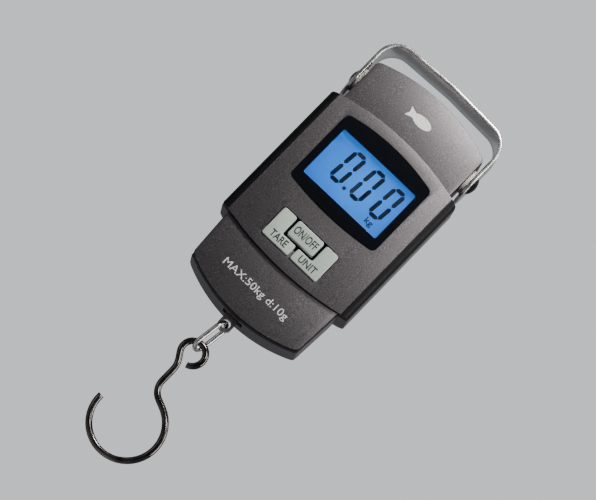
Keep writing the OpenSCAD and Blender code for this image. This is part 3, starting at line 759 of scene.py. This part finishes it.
def make_digits():
    glass_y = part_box("lcd_glass")[0].y
    y = glass_y - 0.02 * MM
    slant = math.tan(math.radians(5.5))
    tall, broad, bar = 7.1 * MM, 4.7 * MM, 1.75 * MM
    middle_z = LCD_Z + 1.9 * MM
    bm = bmesh.new()
    for centre_x in (-7.8, 2.6, 13.1):
        for name, (side, level, upright) in SEGMENTS.items():
            if name == "middle":
                continue
            long = tall - 0.3 * MM if upright else broad - 0.3 * MM
            segment(bm, centre_x * MM + side * broad / 2, middle_z + level * tall, long, bar,
                    upright, y)
    point = bmesh.ops.create_circle(bm, cap_ends=True, segments=4, radius=1.0 * MM)["verts"]
    bmesh.ops.rotate(bm, verts=point, cent=(0, 0, 0), matrix=Matrix.Rotation(math.pi / 2, 3, "X"))
    bmesh.ops.rotate(bm, verts=point, cent=(0, 0, 0), matrix=Matrix.Rotation(math.pi / 4, 3, "Y"))
    bmesh.ops.translate(bm, verts=point, vec=(-2.6 * MM, y, middle_z - tall))
    for vert in bm.verts:
        vert.co.x += (vert.co.z - middle_z) * slant
    thicken(bm, 0.015 * MM)
    settle("display_digits", bm, [SEGMENT], "case")


def lettering(name, words, size, x, z, y_of, ink, body="case", weight=0.0):
    """Raised ink of a width and height, centred on x and z on the surface that y_of gives."""
    width, height = size
    curve = bpy.data.curves.new(name, "FONT")
    curve.body = words
    curve.align_x = "CENTER"
    curve.align_y = "CENTER"
    curve.size = height / 0.72
    curve.offset = weight
    curve.resolution_u = 3
    text = bpy.data.objects.new(name, curve)
    bpy.context.scene.collection.objects.link(text)
    graph = bpy.context.evaluated_depsgraph_get()
    mesh = bpy.data.meshes.new_from_object(text.evaluated_get(graph))
    bpy.data.objects.remove(text)
    bm = bmesh.new()
    bm.from_mesh(mesh)
    bmesh.ops.remove_doubles(bm, verts=bm.verts, dist=1e-6)
    across = [v.co.x for v in bm.verts]
    bmesh.ops.scale(bm, verts=bm.verts, vec=(width / (max(across) - min(across)), 1, 1))
    bmesh.ops.rotate(bm, verts=bm.verts, cent=(0, 0, 0), matrix=Matrix.Rotation(math.pi / 2, 3, "X"))
    bmesh.ops.translate(bm, verts=bm.verts, vec=(x, 0, z))
    thicken(bm, 0.08 * MM)
    for vert in bm.verts:
        vert.co.y += y_of(vert.co.x) - 0.03 * MM
    return settle(name, bm, [ink], body)


def low_face(x):
    """Level of the bowed face of the two lower sections at x."""
    return LOW_FRONT_Y + crown_drop(x)


def cap_outline(kind):
    """Corners of a button's cap: a plain block, or an L that reaches round it."""
    half, low_z, high_z = button_rect()
    on_low = high_z - ON_OFF_HEIGHT
    if kind == "on_off":
        return [(-ON_OFF_HALF, on_low), (ON_OFF_HALF, on_low), (ON_OFF_HALF, high_z),
                (-ON_OFF_HALF, high_z)]
    inner, arm, under = -ON_OFF_HALF - BUTTON_GAP, -BUTTON_GAP / 2, on_low - BUTTON_GAP
    ring = [(-half, low_z), (arm, low_z), (arm, under), (inner, under), (inner, high_z),
            (-half, high_z)]
    if kind == "unit":
        ring = [(-x, z) for x, z in ring][::-1]
    return ring


def make_button(kind, words):
    node = kind + "_button"
    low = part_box(node)[0]
    bm = plate(cap_outline(kind), low.y, 0.9 * MM, 5)
    thicken(bm, 3.4 * MM)
    bmesh.ops.recalc_face_normals(bm, faces=bm.faces)
    soften(bm, rim_edges(bm, low.y), 0.45 * MM, 4)
    settle(kind + "_cap", bm, [BUTTON], node, [node])
    low_z, high_z = button_rect()[1:]
    spots = {                            # middle of the words, then their width and height
        "on_off": (0, high_z - 3.8 * MM, 11.4, 3.5),
        "tare": (-7.6 * MM, low_z + 2.7 * MM, 8.3, 3.1),
        "unit": (7.6 * MM, low_z + 2.7 * MM, 8.5, 3.1),
    }
    x, z, wide, tall = spots[kind]
    lettering(kind + "_label", words, (wide * MM, tall * MM), x, z, lambda _: low.y, BLACK_INK,
              node, weight=0.09 * MM)


def make_markings():
    fish = bmesh.new()
    body_r = 4.6 * MM
    ring = []
    for i in range(15):
        a = math.radians(-150 + i * 300 / 14)
        ring.append((body_r * math.cos(a), 0.5 * body_r * math.sin(a)))
    tail = [(-7.2 * MM, 2.2 * MM), (-6.3 * MM, 0), (-7.2 * MM, -2.2 * MM)]
    fish.faces.new([fish.verts.new((x, 0, z)) for x, z in ring + tail])
    bmesh.ops.translate(fish, verts=fish.verts, vec=(0.6 * MM, 0, SEAM_TOP_Z + 10.6 * MM))
    thicken(fish, 0.08 * MM)
    for vert in fish.verts:
        vert.co.y += low_face(vert.co.x) - 0.03 * MM
    settle("fish_mark", fish, [WHITE_INK], "case")
    lettering("capacity_mark", "MAX:50kg d:10g", (33 * MM, 3.2 * MM), -0.6 * MM,
              SEAM_BOTTOM_Z - 12.2 * MM, low_face, WHITE_INK)
    lettering("unit_mark", "kg", (3.6 * MM, 2.6 * MM), 12.8 * MM, LCD_Z - 8.3 * MM,
              lambda _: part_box("lcd_glass")[0].y - 0.02 * MM, SEGMENT,
              weight=0.06 * MM)


# ---------------------------------------------------------------- nodes kept from CAD

def dress_nodes():
    """Gives each CAD node that stays its own finish; the circuit board's is darkened as painted shade
    for the gaps round the buttons.
    """
    finish = {
        "pivot_screws": OXIDE, "load_eye": NICKEL, "case_screws": OXIDE,
        "cross_bar": ZINC, "cell_screws": ZINC, "board_screws": ZINC, "tact_switches": ZINC,
        "load_cell": ALLOY, "lcd_glass": CRYSTAL, "battery_door": BACK,
        "pivot_washers": moulded("white_nylon", "#cfccc2", "#e2dfd6", 0.5),
        "lcd_backlight": moulded("frosted_diffuser", "#c9dcf0", "#dceafa", 0.5),
        "lcd_frame": moulded("white_moulded_holder", "#d3d2ca", "#e6e5de", 0.45),
        "zebra_strip": moulded("pink_elastomer", "#b9838c", "#d6a3ab", 0.7, 0.5 * MM),
        # The solder mask is darker than its own green: painted shade where the board shows in the gaps
        # round the buttons
        "circuit_board": moulded("solder_mask_darkened_for_gap_shade", "#0c3319", "#124420", 0.3, 1.5 * MM),
        "controller_chip": moulded("black_potting_resin", "#0b0b0c", "#19191b", 0.2, 2 * MM),
        "strain_gauges": moulded("amber_gauge_film", "#a8621f", "#cf8a3f", 0.35, 0.5 * MM),
        "batteries": moulded("printed_cell_sleeve", "#23603c", "#2f7a4c", 0.3, 4 * MM),
        "battery_contacts": moulded("nickel_strip", "#b5b1a4", "#d0ccbf", 0.3, 1 * MM, 1.0),
        "battery_springs": moulded("nickel_spring_wire", "#b0aea6", "#cfccc4", 0.3, 1 * MM, 1.0),
        "gauge_wires": moulded("red_wire_cover", "#8f1f1b", "#b52f28", 0.4, 1 * MM),
    }
    finish["battery_wires"] = finish["gauge_wires"]
    for name, material in finish.items():
        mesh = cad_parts[name].data
        mesh.materials.clear()
        mesh.materials.append(material)


# ---------------------------------------------------------------- camera, light and floor

AZIMUTH, ELEVATION = math.radians(4.5), math.radians(-11)
ROLL = math.radians(44.3)                # the scale's top leans to the right by this much
DISTANCE = 1.3
VIEW_WIDTH = 231.2 * MM                  # width of the view at the object
AIM = Vector((0.9, -13, -90.6)) * MM


def make_camera():
    toward = Vector((math.sin(AZIMUTH) * math.cos(ELEVATION), -math.cos(AZIMUTH) * math.cos(ELEVATION),
                     math.sin(ELEVATION)))
    right = Vector((math.cos(AZIMUTH), math.sin(AZIMUTH), 0))
    up = toward.cross(right)
    image_up = up * math.cos(ROLL) - right * math.sin(ROLL)
    image_right = right * math.cos(ROLL) + up * math.sin(ROLL)
    data = bpy.data.cameras.new("camera")
    data.sensor_width = 36
    data.lens = data.sensor_width * DISTANCE / VIEW_WIDTH
    data.clip_start, data.clip_end = 0.05, 20
    camera = bpy.data.objects.new("camera", data)
    turn = Matrix((image_right, image_up, toward)).transposed().to_4x4()
    camera.matrix_world = Matrix.Translation(AIM + toward * DISTANCE) @ turn
    bpy.context.scene.collection.objects.link(camera)
    bpy.context.scene.camera = camera


def area_light(name, place, aim, size, power, colour="#ffffff"):
    data = bpy.data.lights.new(name, "AREA")
    data.shape = "RECTANGLE"
    data.size, data.size_y = size
    data.energy = power
    data.color = srgb(colour)[:3]
    lamp = bpy.data.objects.new(name, data)
    lamp.location = place
    lamp.rotation_euler = (Vector(aim) - Vector(place)).to_track_quat("-Z", "Y").to_euler()
    bpy.context.scene.collection.objects.link(lamp)


def make_stage():
    bm = bmesh.new()
    bmesh.ops.create_grid(bm, x_segments=1, y_segments=1, size=6,
                          matrix=Matrix.Translation((0, 0, -0.75)))
    mesh = bpy.data.meshes.new("floor")
    bm.to_mesh(mesh)
    bm.free()
    mesh.materials.append(moulded("pale_floor_paint", "#d9dadb", "#e0e1e2", 0.8, 40 * MM))
    floor = bpy.data.objects.new("floor", mesh)
    bpy.context.scene.collection.objects.link(floor)
    world = bpy.data.worlds.new("studio")
    world.use_nodes = True
    tree = world.node_tree
    background = tree.nodes["Background"]
    background.inputs["Strength"].default_value = 1
    seen = add(tree, "ShaderNodeLightPath").outputs["Is Camera Ray"]
    way = add(tree, "ShaderNodeTexCoord").outputs["Generated"]
    height = add(tree, "ShaderNodeSeparateXYZ", links={"Vector": way}).outputs["Z"]
    level = add(tree, "ShaderNodeMapRange", {"From Min": -1, "From Max": 1}, {"Value": height})
    glow = ramp(tree, level.outputs["Result"], [(0.2, "#1c1c1e"), (0.55, "#3a3b3d"), (0.9, "#6c6e72")])
    depth = add(tree, "ShaderNodeSeparateXYZ", links={"Vector": way}).outputs["Y"]
    behind = add(tree, "ShaderNodeMapRange", {"From Min": 0.2, "From Max": 0.7}, {"Value": depth})
    lit = add(tree, "ShaderNodeMix", {7: srgb("#94989d")}, {0: behind.outputs["Result"], 6: glow},
              data_type="RGBA").outputs[2]
    pale = add(tree, "ShaderNodeMix", {7: srgb("#dfe3e6")}, {0: seen, 6: lit}, data_type="RGBA")
    tree.links.new(pale.outputs[2], background.inputs["Color"])
    bpy.context.scene.world = world


def make_lights():
    area_light("key", (0.035, -0.24, 0.16), (0.01, 0, -0.02), (0.09, 0.08), 1.2, "#fffefc")
    area_light("right_key", (0.14, -0.34, 0.03), (0.03, 0, -0.05), (0.05, 0.10), 0.32)
    area_light("right_strip", (0.42, -0.10, 0.02), (0, 0, -0.07), (0.12, 0.5), 1.5)
    area_light("left_fill", (-0.5, -0.35, -0.1), (0, 0, -0.07), (0.3, 0.3), 0.2, "#f1f0ff")
    area_light("back_rim", (-0.15, 0.5, 0.35), (0, 0, -0.07), (0.4, 0.3), 2.0)


make_camera()
make_stage()
make_lights()
make_covers()
make_handle()
make_link()
make_hook()
make_display()
make_digits()
for kind, words in (("on_off", "ON/OFF"), ("tare", "TARE"), ("unit", "UNIT")):
    make_button(kind, words)
make_markings()
dress_nodes()
